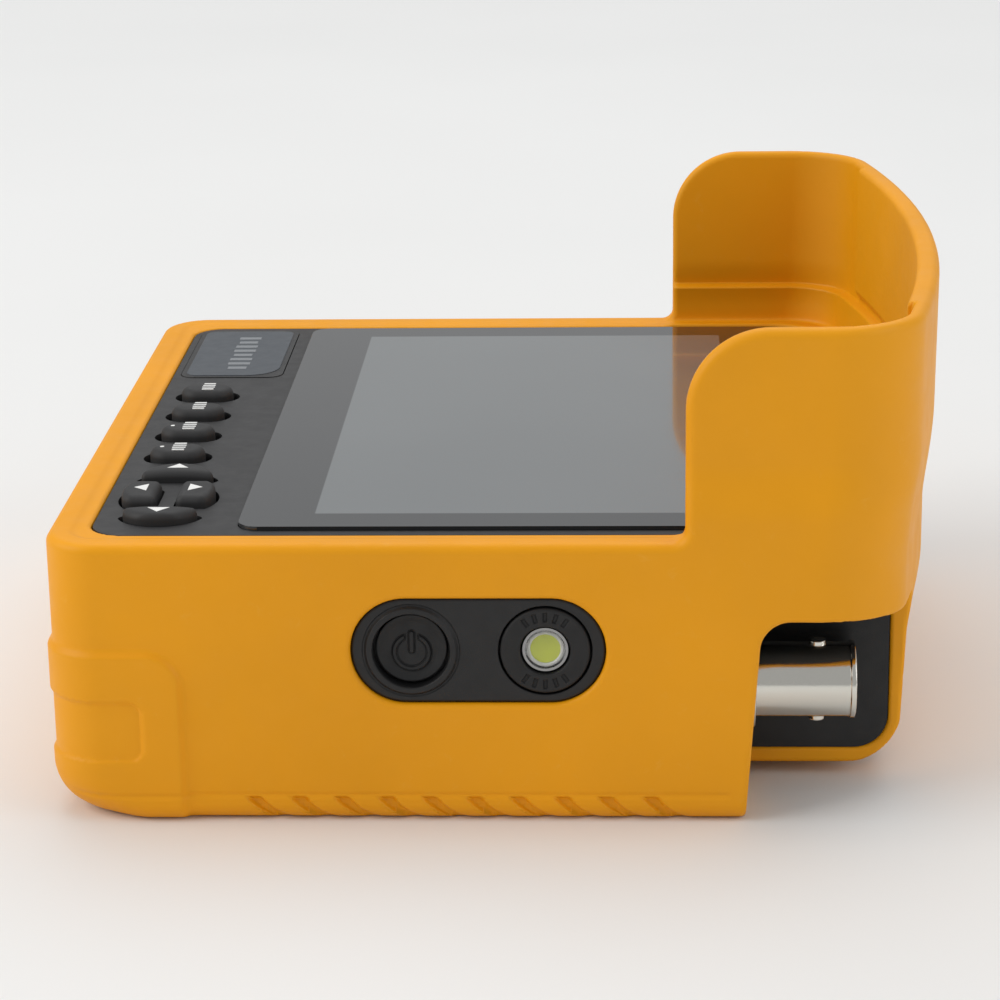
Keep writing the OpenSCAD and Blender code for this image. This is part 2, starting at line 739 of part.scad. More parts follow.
module side_key_plate() {
    color("#242526") difference() {
        along_y(window_xc, plate_face_y, window_z)
            linear_extrude(plate_back_y - plate_face_y) slot(window_l - fit, window_h - fit);
        along_y(power_x, plate_face_y - 1, window_z) cylinder(r = power_r + side_gap, h = 5);
        along_y(torch_x, plate_face_y - 1, window_z) cylinder(r = torch_r + side_gap, h = 5);
    }
}

module power_button() {
    color("#2b2c2d") {
        along_y(power_x, plate_face_y + 0.3, window_z) cylinder(r = power_r, h = stem_y - plate_face_y - 1);
        along_y(power_x, side_flange_y, window_z) cylinder(r = power_r + 0.7, h = side_flange_t);
        along_y(power_x, stem_y - 1, window_z) cylinder(r = 1.5, h = 1);
    }
}

module torch_button() {
    color("#2b2c2d") {
        along_y(torch_x, plate_face_y - 0.2, window_z)
            tube(torch_r, torch_bore_r, side_flange_y + side_flange_t - plate_face_y);
        along_y(torch_x, side_flange_y, window_z) tube(torch_r + 0.6, torch_bore_r, side_flange_t);
        along_y(torch_x + finger_x, side_flange_y + side_flange_t - 0.2, window_z)
            cylinder(r = 0.9, h = stem_y - side_flange_y - side_flange_t + 0.2);
    }
}

module torch_reflector() {
    color("silver") along_y(torch_x, plate_face_y + 0.4, window_z) difference() {
        cylinder(r = torch_bore_r - 0.25, h = 3);
        translate([0, 0, -1]) cylinder(r = torch_bore_r - 0.55, h = 2.2);
        translate([0, 0, 1]) cylinder(r = post_r + nap, h = 3);
    }
}

module torch_led() {
    led_y = plate_face_y + 1.1;
    color("#e6f06a") {
        along_y(torch_x, led_y, window_z) cylinder(r = 1.95, h = 0.45);
        along_y(torch_x, led_y, window_z) cylinder(r = post_r, h = side_board_y - led_y);
    }
}

module torch_lens() {
    color("white", 0.4) along_y(torch_x, plate_face_y + 0.45, window_z)
        cylinder(r = torch_bore_r - 0.6, h = 0.6);
}

module side_switches() {
    color("#8b8d90") for (x = [power_x, torch_x + finger_x + 0.4]) {
        translate([x - 2, switch_body_y, window_z - 2]) cube([4, side_board_y - switch_body_y, 4]);
        along_y(x, switch_y, window_z) cylinder(r = 1, h = 0.7);
    }
}

module side_board() {
    color("#1d5a35") translate([window_xc - side_board_l / 2, side_board_y, side_board_z0])
        cube([side_board_l, side_board_t, side_board_z1 - side_board_z0]);
}

// ---- boards and battery ----

module main_board() {
    color("#1d5a35") difference() {
        slab(main_z0, main_z1) union() {
            centred_rect(main_x0, jack_wall_x - case_t - 1, main_y, 2);
            centred_rect(main_x0, main_x1, notch_y - case_t - 1, 2);
        }
        // room for the side controls
        translate([window_xc - side_board_l / 2 - 3, -half_w, main_z0 - 1])
            cube([side_board_l + 6, half_w + side_board_y + side_board_t + 2, 4]);
        for (p = main_posts) translate([p.x, p.y, main_z0 - 1]) cylinder(r = board_screw_r + fit, h = 4);
        for (p = case_bosses) translate([p.x, p.y, main_z0 - 1]) cylinder(r = boss_r + 2 * fit, h = 4);
    }
}

module main_board_chips() {
    color("#202124") translate([0, 0, main_z1]) {
        translate([view_xc - 14, -8, 0]) cube([14, 14, 1]);
        translate([view_xc + 6, -8, 0]) cube([9, 11, 1]);
        translate([view_xc - 12, 14, 0]) cube([10, 8, 1]);
        translate([view_xc + 6, 12, 0]) cube([5, 5, 1]);
    }
}

module rf_board() {
    color("#1d5a35") difference() {
        slab(rf_z0, rf_z1) union() {
            centred_rect(rf_x0, rf_x1, rf_y, 1.5);
            centred_rect(rf_wing_x, rf_wing_x1, main_y, 1.5);
            centred_rect(rf_x1 - 5, case_x1 - case_t - 0.5, 9, 1);
        }
        for (p = rf_posts) translate([p.x, p.y, rf_z0 - 1]) cylinder(r = board_screw_r + fit, h = 4);
    }
}

module rf_shield_cans() {
    color("silver") for (s = [-1, 1])
        translate([(rf_x0 + rf_x1) / 2 - can_l / 2, s * (can_w / 2 + 3.5) - can_w / 2, rf_z1]) difference() {
            cube([can_l, can_w, can_h]);
            translate([0.3, 0.3, -0.3]) cube([can_l - 0.6, can_w - 0.6, can_h]);
        }
}

module charge_socket() {
    color("silver") along_x(socket_x1 - socket_l, 0, rf_z1 + socket_h / 2) difference() {
        linear_extrude(socket_l) slot_across(socket_h, socket_w);
        translate([0, 0, 1]) linear_extrude(socket_l) slot_across(socket_h - 0.7, socket_w - 0.7);
    }
    color("#222222") along_x(socket_x1 - socket_l + 0.5, 0, rf_z1 + socket_h / 2)
        linear_extrude(socket_l - 1.2) square([0.7, 6.5], center = true);
}

// A slot with round ends, centred, along Y
module slot_across(h, w) { rotate(90) slot(w, h); }

module battery_cells() {
    color("#3f6fb0") for (i = [0, 1])
        along_y(battery_x + i * battery_pitch, -cell_l / 2, battery_z) cylinder(r = cell_r, h = cell_l);
}

module battery_wrap() {
    color("#3b5a9a") difference() {
        along_y(battery_x + battery_pitch / 2, -cell_l / 2 - 1, battery_z)
            linear_extrude(cell_l + 2) slot(battery_pitch + 2 * wrap_r, 2 * wrap_r);
        for (i = [0, 1]) along_y(battery_x + i * battery_pitch, -cell_l / 2, battery_z)
            cylinder(r = cell_r + nap, h = cell_l);
    }
}

// ---- jacks, drawn along +X from the front of the jack wall ----

module jack_shell() {
    color("#c9c8c4") difference() {
        union() {
            cylinder(r = jack_flange_r, h = jack_flange_t);
            cylinder(r = jack_barrel_r, h = jack_tip_z - nose_l);
            translate([0, 0, jack_tip_z - nose_l - eps]) cylinder(r = jack_r, h = nose_l + eps - 0.4);
            translate([0, 0, jack_tip_z - 0.4 - eps]) cylinder(r = jack_r - 0.35, h = 0.4 + eps);
            translate([0, 0, -jack_thread_l]) cylinder(r = jack_thread_r, h = jack_thread_l + eps);
            // bayonet lugs
            translate([0, 0, jack_flange_t + lug_x]) rotate([0, 90, 0])
                cylinder(r = lug_r, h = 2 * (jack_r + lug_h), center = true);
        }
        translate([0, 0, jack_flange_t + 1.5]) cylinder(r = jack_bore_r, h = jack_l + 1);
        translate([0, 0, -jack_thread_l - 1]) cylinder(r = jack_core_r + nap, h = jack_thread_l + 5);
    }
}

module jack_insulator() {
    color("white") translate([0, 0, -jack_thread_l])
        tube(jack_core_r, contact_r + nap, jack_thread_l + jack_tip_z - 1);
}

module jack_contact() {
    color("#c8a24a") difference() {
        union() {
            translate([0, 0, -jack_thread_l]) cylinder(r = contact_r, h = jack_thread_l + jack_tip_z - 2);
            translate([0, 0, -jack_thread_l - 4.5]) cylinder(r = 0.45, h = 4.6, $fn = 32);
        }
        translate([0, 0, jack_flange_t + 2]) cylinder(r = 0.68, h = jack_l, $fn = 32);
    }
}

module jack_washer() {
    color("silver") translate([0, 0, -case_t - washer_t]) tube(washer_r, jack_thread_r + 0.1, washer_t);
}

module jack_nut() {
    color("#c9c8c4") translate([0, 0, -case_t - washer_t - nut_t]) difference() {
        cylinder(d = nut_af / cos(30), h = nut_t, $fn = 6);
        translate([0, 0, -1]) cylinder(r = jack_thread_r + nap, h = nut_t + 2);
    }
}

module at_right_jack() { along_x(jack_wall_x, -jack_y, jack_z) children(); }
module at_left_jack() { along_x(jack_wall_x, jack_y, jack_z) children(); }

rubber_boot();
front_case();
rear_case();
display_glass();
lcd_panel();
lcd_backlight();
lcd_frame();
nameplate();
key_up();
key_down();
key_left();
key_right();
function_key(0);  // function_key_1
function_key(1);  // function_key_2
function_key(2);  // function_key_3
function_key(3);  // function_key_4
keypad_mat();
key_domes();
keypad_board();
side_key_plate();
power_button();
torch_button();
torch_reflector();
torch_led();
torch_lens();
side_switches();
side_board();
main_board();
main_board_chips();
rf_board();
rf_shield_cans();
charge_socket();
battery_cells();
battery_wrap();
at_right_jack() jack_shell();  // right_jack_shell
at_right_jack() jack_insulator();  // right_jack_insulator
at_right_jack() jack_contact();  // right_jack_contact
at_right_jack() jack_washer();  // right_jack_washer
at_right_jack() jack_nut();  // right_jack_nut
at_left_jack() jack_shell();  // left_jack_shell
at_left_jack() jack_insulator();  // left_jack_insulator
at_left_jack() jack_contact();  // left_jack_contact
at_left_jack() jack_washer();  // left_jack_washer
at_left_jack() jack_nut();  // left_jack_nut
case_screws();
board_screws();
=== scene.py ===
"""Looks of a handheld two-port vector network analyzer in a rubber boot with a sun hood.

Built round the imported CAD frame. Lengths in the shape formulas are in millimetres, in the CAD
frame: +X towards the jacks, -Y the side with the power button, +Z up.
"""
import math

import bmesh
import bpy
import numpy as np
from mathutils import Matrix, Vector
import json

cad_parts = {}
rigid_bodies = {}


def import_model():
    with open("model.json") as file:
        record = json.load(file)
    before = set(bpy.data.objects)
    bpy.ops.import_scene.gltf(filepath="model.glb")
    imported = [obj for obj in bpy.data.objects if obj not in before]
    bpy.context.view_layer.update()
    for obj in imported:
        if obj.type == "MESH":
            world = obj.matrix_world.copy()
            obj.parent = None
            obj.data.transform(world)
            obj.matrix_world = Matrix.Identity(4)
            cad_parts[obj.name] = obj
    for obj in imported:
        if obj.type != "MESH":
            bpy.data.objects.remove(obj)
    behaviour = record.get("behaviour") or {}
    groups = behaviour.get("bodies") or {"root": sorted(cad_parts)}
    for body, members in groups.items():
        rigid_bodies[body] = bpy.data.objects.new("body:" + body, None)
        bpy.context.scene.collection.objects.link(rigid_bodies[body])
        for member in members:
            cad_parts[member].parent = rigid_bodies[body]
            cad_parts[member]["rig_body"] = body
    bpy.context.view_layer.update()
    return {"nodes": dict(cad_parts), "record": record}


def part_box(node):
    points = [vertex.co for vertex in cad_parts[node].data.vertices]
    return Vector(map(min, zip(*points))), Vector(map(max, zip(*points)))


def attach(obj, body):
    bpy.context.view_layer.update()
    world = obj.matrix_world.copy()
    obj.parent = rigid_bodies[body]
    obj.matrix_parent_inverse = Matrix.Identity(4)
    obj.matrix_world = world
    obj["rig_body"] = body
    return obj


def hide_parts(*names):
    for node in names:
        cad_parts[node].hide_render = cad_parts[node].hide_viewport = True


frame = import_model()
MM = 0.001
scene = bpy.context.scene
scene.view_settings.view_transform = "Standard"

slot_of = {}
for part in frame["record"]["subparts"]:
    slot_of[part["node"]] = part["material_slot"]


def box_mm(node):
    """Lowest and highest corner of a CAD node, in millimetres."""
    lo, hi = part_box(node)
    return np.array(lo) / MM, np.array(hi) / MM


# ---------------------------------------------------------------- materials

class Nodes:
    """A short way to write one material's node tree."""

    def __init__(self, name):
        self.material = bpy.data.materials.new(name)
        self.material.use_nodes = True
        self.tree = self.material.node_tree
        self.shader = self.tree.nodes["Principled BSDF"]
        self.coords = self.add("ShaderNodeTexCoord").outputs["Object"]

    def add(self, kind, **settings):
        node = self.tree.nodes.new(kind)
        for key, value in settings.items():
            setattr(node, key, value)
        return node

    def link(self, source, target):
        self.tree.links.new(source, target)

    def put(self, socket, value):
        """Links a socket, or sets a plain value."""
        if isinstance(value, bpy.types.NodeSocket):
            self.link(value, socket)
        else:
            socket.default_value = value

    def noise(self, scale, detail=3.0, rough=0.5, stretch=None, distortion=0.0):
        """Noise with scale features to a millimetre."""
        node = self.add("ShaderNodeTexNoise")
        node.inputs["Scale"].default_value = scale / MM
        node.inputs["Detail"].default_value = detail
        node.inputs["Roughness"].default_value = rough
        node.inputs["Distortion"].default_value = distortion
        source = self.coords
        if stretch is not None:
            mapping = self.add("ShaderNodeMapping")
            mapping.inputs["Scale"].default_value = stretch
            self.link(source, mapping.inputs["Vector"])
            source = mapping.outputs["Vector"]
        self.link(source, node.inputs["Vector"])
        return node.outputs["Fac"]

    def ramp(self, value, stops):
        """Colour ramp through (place, value or colour) stops."""
        node = self.add("ShaderNodeValToRGB")
        self.link(value, node.inputs["Fac"])
        ramp = node.color_ramp
        for i, (place, colour) in enumerate(stops):
            element = ramp.elements[i] if i < 2 else ramp.elements.new(place)
            element.position = place
            if not isinstance(colour, tuple):
                colour = (colour,) * 3
            element.color = (*colour, 1.0)
        return node.outputs["Color"]

    def math(self, operation, a, b=0.0):
        node = self.add("ShaderNodeMath", operation=operation)
        self.put(node.inputs[0], a)
        self.put(node.inputs[1], b)
        return node.outputs[0]

    def mix(self, factor, a, b, blend="MIX"):
        node = self.add("ShaderNodeMix", data_type="RGBA", blend_type=blend)
        self.put(node.inputs[0], factor)
        for socket, value in ((node.inputs[6], a), (node.inputs[7], b)):
            if isinstance(value, tuple):
                value = (*value, 1.0)
            self.put(socket, value)
        return node.outputs[2]

    def range(self, value, low, high, to_low=0.0, to_high=1.0):
        node = self.add("ShaderNodeMapRange")
        self.put(node.inputs["Value"], value)
        limits = {"From Min": low, "From Max": high, "To Min": to_low, "To Max": to_high}
        for name, number in limits.items():
            node.inputs[name].default_value = number
        return node.outputs["Result"]

    def axes(self):
        node = self.add("ShaderNodeSeparateXYZ")
        self.link(self.coords, node.inputs[0])
        return node.outputs

    def bump(self, height, distance):
        """Bump of height 0 to 1 over distance millimetres."""
        node = self.add("ShaderNodeBump")
        node.inputs["Strength"].default_value = 1.0
        node.inputs["Distance"].default_value = distance * MM
        self.link(height, node.inputs["Height"])
        return node.outputs["Normal"]

    def set(self, **values):
        """Sets or links the shader's inputs, with _ for a space in a name."""
        for key, value in values.items():
            socket = self.shader.inputs[key.replace("_", " ")]
            if isinstance(value, tuple) and len(value) == 3 and socket.type == "RGBA":
                value = (*value, 1.0)
            self.put(socket, value)
        return self.material


def srgb(r, g, b):
    """Linear colour of an 8-bit sRGB one."""
    out = []
    for v in (r, g, b):
        v /= 255
        out.append(v / 12.92 if v <= 0.04045 else ((v + 0.055) / 1.055) ** 2.4)
    return tuple(out)


def scaled(colour, factor):
    return tuple(min(1.0, c * factor) for c in colour)


def moulded(name, colour, rough, grain=0.02, grain_scale=5.0, spread=0.08, **more):
    """Moulded plastic or rubber: fine grain, slow mottling and a little dust in the finish."""
    m = Nodes(name)
    slow = m.noise(0.06, 4)
    fine = m.noise(grain_scale, 3, 0.65)
    base = m.ramp(slow, [(0.3, scaled(colour, 1 - spread)), (0.7, scaled(colour, 1 + spread))])
    speck = m.range(fine, 0.35, 0.7, 0.96, 1.04)
    base = m.mix(1.0, base, speck, "MULTIPLY")
    finish = m.range(m.noise(0.5, 5), 0.3, 0.7, rough - 0.05, rough + 0.05)
    return m.set(Base_Color=base, Roughness=finish, Normal=m.bump(fine, grain), **more)


def brushed(name, colour, rough, stretch=(1, 1, 14), spread=0.05):
    """Metal with fine lines, or an even grain where stretch is the same each way."""
    m = Nodes(name)
    lines = m.noise(6, 3, 0.6, stretch)
    base = m.ramp(lines, [(0.3, scaled(colour, 1 - spread)), (0.7, scaled(colour, 1 + spread))])
    finish = m.range(m.noise(1.2, 4), 0.3, 0.7, rough * 0.8, rough * 1.25)
    return m.set(Base_Color=base, Metallic=1.0, Roughness=finish, Normal=m.bump(lines, 0.006))


YELLOW = srgb(238, 160, 3)


def boot_rubber():
    m = Nodes("yellow_rubber")
    slow = m.noise(0.035, 4)
    fine = m.noise(4.0, 3, 0.6)
    base = m.ramp(slow, [(0.3, scaled(YELLOW, 0.95)), (0.7, scaled(YELLOW, 1.04))])
    # faint scuffs and dust, as lighter patches spread at random
    scuff = m.range(m.noise(0.35, 6, 0.7, (1, 1, 1), 0.6), 0.62, 0.8, 0.0, 0.10)
    base = m.mix(scuff, base, srgb(255, 214, 130))
    finish = m.range(m.noise(0.25, 5), 0.3, 0.7, 0.44, 0.56)
    height = m.mix(0.3, fine, m.noise(1.1, 4))
    return m.set(Base_Color=base, Roughness=finish, Normal=m.bump(height, 0.02), Specular_IOR_Level=0.3)


def window_mask(m, box, edge):
    """1 inside a rounded window in plan, 0 outside it, with a soft edge in millimetres."""
    x, y, _ = m.axes()
    (x0, y0), (x1, y1) = box
    inside = None
    for value, low, high in ((x, x0, x1), (y, y0, y1)):
        up = m.range(value, low * MM, (low + edge) * MM)
        down = m.range(value, (high - edge) * MM, high * MM, 1.0, 0.0)
        part = m.math("MULTIPLY", up, down)
        inside = part if inside is None else m.math("MULTIPLY", inside, part)
    return inside


VIEW_BOX = ((-23.0, -43.2), (28.84, 43.2))   # the display's viewing area in plan


def glass():
    """Cover glass: grey over the display, dark border round it, faint smears."""
    m = Nodes("cover_glass")
    inside = window_mask(m, VIEW_BOX, 0.15)
    slow = m.noise(0.02, 2)
    cell = m.ramp(slow, [(0.3, srgb(100, 105, 107)), (0.7, srgb(107, 112, 114))])
    border = m.ramp(slow, [(0.3, srgb(34, 36, 38)), (0.7, srgb(38, 40, 42))])
    base = m.mix(inside, border, cell)
    smear = m.range(m.noise(0.12, 5, 0.6, (1, 1, 1), 1.2), 0.35, 0.75, 0.10, 0.17)
    return m.set(Base_Color=base, Roughness=smear, Specular_IOR_Level=m.range(inside, 0.0, 1.0, 0.4, 1.0),
                 Coat_Weight=0.7, Coat_Roughness=0.04)


def lens_material():
    m = Nodes("clear_lens")
    ripple = m.noise(1.5, 2)
    return m.set(Base_Color=(0.96, 0.97, 0.97), Roughness=m.range(ripple, 0.3, 0.7, 0.02, 0.06),
                 Transmission_Weight=1.0, IOR=1.49, Normal=m.bump(ripple, 0.002))


MATERIALS = {
    "yellow_rubber": boot_rubber(),
    "panel_plastic": moulded("panel_plastic", srgb(40, 40, 41), 0.52, 0.02, 6.0, 0.05),
    "case_plastic": moulded("case_plastic", srgb(14, 14, 15), 0.5, 0.02, 6.0, 0.05),
    "cover_glass": glass(),
    "lcd_glass": moulded("lcd_glass", srgb(120, 126, 128), 0.15, 0.001, 2.0, 0.03),
    "white_plastic": moulded("white_plastic", srgb(236, 235, 230), 0.35, 0.004, 3.0, 0.02),
    "sheet_steel": brushed("sheet_steel", (0.62, 0.62, 0.60), 0.35),
    "label_film": moulded("label_film", srgb(66, 72, 79), 0.42, 0.006, 8.0, 0.03),
    "key_rubber": moulded("key_rubber", srgb(40, 40, 41), 0.62, 0.015, 7.0, 0.05),
    "circuit_board": moulded("circuit_board", srgb(28, 98, 58), 0.35, 0.01, 3.0, 0.12),
    "side_plastic": moulded("side_plastic", srgb(17, 17, 18), 0.5, 0.02, 6.0, 0.05),
    "side_rubber": moulded("side_rubber", srgb(18, 18, 19), 0.6, 0.015, 7.0, 0.05),
    "reflector": brushed("reflector", (0.3, 0.3, 0.3), 0.1, (1, 1, 1), 0.02),
    "led_phosphor": moulded("led_phosphor", srgb(222, 230, 50), 0.4, 0.02, 12.0, 0.04),
    "clear_lens": lens_material(),
    "chip_plastic": moulded("chip_plastic", srgb(32, 32, 34), 0.5, 0.01, 8.0, 0.05),
    "battery_cell": brushed("battery_cell", (0.5, 0.55, 0.6), 0.4),
    "battery_film": moulded("battery_film", srgb(60, 88, 150), 0.3, 0.01, 2.0, 0.06),
    "nickel": brushed("nickel", (0.70, 0.68, 0.62), 0.13, (1, 1, 1), 0.02),
    "contact_brass": brushed("contact_brass", (0.85, 0.65, 0.28), 0.25, (1, 1, 1), 0.04),
    "screw_steel": brushed("screw_steel", (0.55, 0.55, 0.56), 0.38, (1, 1, 1), 0.05),
    "legend_ink": moulded("legend_ink", srgb(240, 240, 238), 0.5, 0.006, 10.0, 0.02),
    "label_ink": moulded("label_ink", srgb(128, 132, 136), 0.5, 0.006, 10.0, 0.02),
}


def finish_with(obj, slot):
    obj.data.materials.clear()
    obj.data.materials.append(MATERIALS[slot])


# ---------------------------------------------------------------- shapes as distances

def rmax(a, b, r):
    """Intersection of two distances with its edge rounded by r."""
    return np.minimum(np.maximum(a, b), -r) + np.hypot(np.maximum(a + r, 0), np.maximum(b + r, 0))


def rmin(a, b, r):
    """Union of two distances with its inner corner filled by r."""
    return np.maximum(np.minimum(a, b), r) - np.hypot(np.maximum(r - a, 0), np.maximum(r - b, 0))


def smooth(x, a, b):
    t = np.clip((x - a) / (b - a), 0, 1)
    return t * t * (3 - 2 * t)


def rect(x, y, x0, x1, y0, y1, r):
    """Distance to a rectangle with corner radius r."""
    qx = np.abs(x - (x0 + x1) / 2) - (x1 - x0) / 2 + r
    qy = np.abs(y - (y0 + y1) / 2) - (y1 - y0) / 2 + r
    return np.hypot(np.maximum(qx, 0), np.maximum(qy, 0)) + np.minimum(np.maximum(qx, qy), 0) - r


def grid_line(*parts):
    """Grid lines from (start, end, spacing) stretches."""
    out = [np.array([parts[0][0]])]
    for start, end, spacing in parts:
        count = max(1, round((end - start) / spacing))
        out.append(np.linspace(start, end, count + 1)[1:])
    return np.concatenate(out)


def gradient(field, p, h=0.02):
    g = np.empty_like(p)
    for axis in range(3):
        step = np.zeros(3)
        step[axis] = h
        g[:, axis] = (field(*(p + step).T) - field(*(p - step).T)) / (2 * h)
    return g


def surface(field, xs, ys, zs):
    """Points and quads of the surface where field is 0: one point to each cell of a grid that it
    crosses, then moved onto it."""
    d = np.empty((len(xs), len(ys), len(zs)), np.float32)
    slab = 8
    for i in range(0, len(xs), slab):
        x, y, z = np.meshgrid(xs[i:i + slab], ys, zs, indexing="ij")
        d[i:i + slab] = field(x, y, z)
    s = d < 0
    count = np.zeros((len(xs) - 1, len(ys) - 1, len(zs) - 1), np.int8)
    for a in (0, 1):
        for b in (0, 1):
            for c in (0, 1):
                count += s[a:a + len(xs) - 1, b:b + len(ys) - 1, c:c + len(zs) - 1]
    active = (count > 0) & (count < 8)
    cell = np.nonzero(active)
    index = np.full(active.shape, -1, np.int64)
    index[cell] = np.arange(len(cell[0]))
    lines = (xs, ys, zs)
    total = np.zeros((len(cell[0]), 3))
    crossings = np.zeros(len(cell[0]))
    for axis in range(3):
        for a in (0, 1):
            for b in (0, 1):
                low = [a, b]
                low.insert(axis, 0)
                high = list(low)
                high[axis] = 1
                i0 = [cell[k] + low[k] for k in range(3)]
                i1 = [cell[k] + high[k] for k in range(3)]
                d0 = d[tuple(i0)].astype(float)
                d1 = d[tuple(i1)].astype(float)
                cross = (d0 < 0) != (d1 < 0)
                t = np.where(cross, d0 / np.where(cross, d0 - d1, 1), 0)
                for k in range(3):
                    p0 = lines[k][i0[k]]
                    p1 = lines[k][i1[k]]
                    total[:, k] += np.where(cross, p0 + t * (p1 - p0), 0)
                crossings += cross
    p = total / crossings[:, None]
    quads = []
    for axis in range(3):
        u, v = [k for k in range(3) if k != axis]
        lo = [slice(None)] * 3
        hi = [slice(None)] * 3
        lo[axis] = slice(0, -1)
        hi[axis] = slice(1, None)
        lo[u] = hi[u] = slice(1, -1)
        lo[v] = hi[v] = slice(1, -1)
        before = s[tuple(lo)]
        after = s[tuple(hi)]
        e = np.nonzero(before != after)
        at = [None] * 3
        at[axis] = e[axis]
        corners = []
        for du, dv in ((0, 0), (1, 0), (1, 1), (0, 1)):
            at[u] = e[u] + du
            at[v] = e[v] + dv
            corners.append(index[at[0], at[1], at[2]])
        q = np.stack(corners, 1)
        flip = before[e] == (axis == 1)
        q[flip] = q[flip][:, ::-1]
        quads.append(q)
    quads = np.concatenate(quads)
    limit = 0.5 * max(np.diff(line).min() for line in lines)
    for _ in range(4):
        g = gradient(field, p)
        step = (field(*p.T) / np.maximum((g * g).sum(1), 0.05))[:, None] * g
        length = np.maximum(np.linalg.norm(step, axis=1), 1e-9)
        p -= step * np.minimum(1, limit / length)[:, None]
    return p, quads


def mesh_object(name, p, faces):
    mesh = bpy.data.meshes.new(name)
    mesh.from_pydata((np.asarray(p) * MM).tolist(), [], np.asarray(faces).tolist())
    mesh.update()
    obj = bpy.data.objects.new(name, mesh)
    scene.collection.objects.link(obj)
    return obj


def apply_modifiers(obj):
    graph = bpy.context.evaluated_depsgraph_get()
    old = obj.data
    obj.data = bpy.data.meshes.new_from_object(obj.evaluated_get(graph))
    obj.modifiers.clear()
    bpy.data.meshes.remove(old)


def solid(name, field, xs, ys, zs, keep=1.0):
    """A mesh object of a distance field, with the field's own normals."""
    p, quads = surface(field, xs, ys, zs)
    obj = mesh_object(name, p, quads)
    if keep < 1:
        obj.modifiers.new("fewer", "DECIMATE").ratio = keep
        apply_modifiers(obj)
    mesh = obj.data
    mesh.polygons.foreach_set("use_smooth", [True] * len(mesh.polygons))
    co = np.empty(len(mesh.vertices) * 3)
    mesh.vertices.foreach_get("co", co)
    g = gradient(field, co.reshape(-1, 3) / MM, 0.05)
    g /= np.maximum(np.linalg.norm(g, axis=1), 1e-9)[:, None]
    mesh.normals_split_custom_set_from_vertices(g.tolist())
    return obj


def stand_in(obj, node, slot=None):
    """obj takes a CAD node's place, body and material slot."""
    slot = slot or slot_of[node]
    finish_with(obj, slot)
    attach(obj, frame["nodes"][node]["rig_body"])
    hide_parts(node)
    return obj


# ---------------------------------------------------------------- the rubber boot

(BX0, BY0, BZ0), (BX1, BY1, BZ1) = box_mm("rubber_boot")
BUMPER = 0.6
KEY_X = BX0 + BUMPER          # key end of the tub
JACK_X = KEY_X + 105          # jack end of the tub
HALF_W = BY1 - BUMPER
RIM_Z = 35.5
HOOD_X = JACK_X - 27.9
NOTCH_X = JACK_X - 20.5
NOTCH_Y = HALF_W - 15
LEDGE_Z = 41.0
WINDOW_Z = 22.0               # centre of the side controls
BOW_R = 210.0                 # the hood's end wall seen from above
CORNER_R = 6.5                # corners of the key end
END_R = 9.0                   # corners of the hood
BOW = 4.2                     # how far the end wall bows out below the ledge
JOG = 1.2                     # and how much more above it
HOOD_CORNER_R = 10.0
PAD_END_X = -38.4             # where the bumper pads end along the sides
PAD_END_Y = 38.3              # and along the key end
PAD_TOP = 22.0
RIM_W = 5.0
ROOM_GAP = 2.3                # from the boot's outside to the room for the case
WINDOW_X = -2.65
WINDOW_L = 30.7
WINDOW_H = 13.4
PORT_Z = 16.43
FOOT_HOLES = ((-29.65, 46.8), (43.4, 33.1))


def groove_cut(x, z):
    """Depth of the curved grip grooves under the parting line of the side walls."""
    pitch = 5.35
    bend = x - 0.55 * (3.6 - z) - 0.18 * (3.6 - z) ** 2 - (KEY_X + 24.5)
    row = np.clip(np.round(bend / pitch), 0, 9)
    across = np.abs(bend - row * pitch)
    return 0.75 * (1 - smooth(across, 0.55, 1.15)) * (1 - smooth(z, 2.9, 3.4))


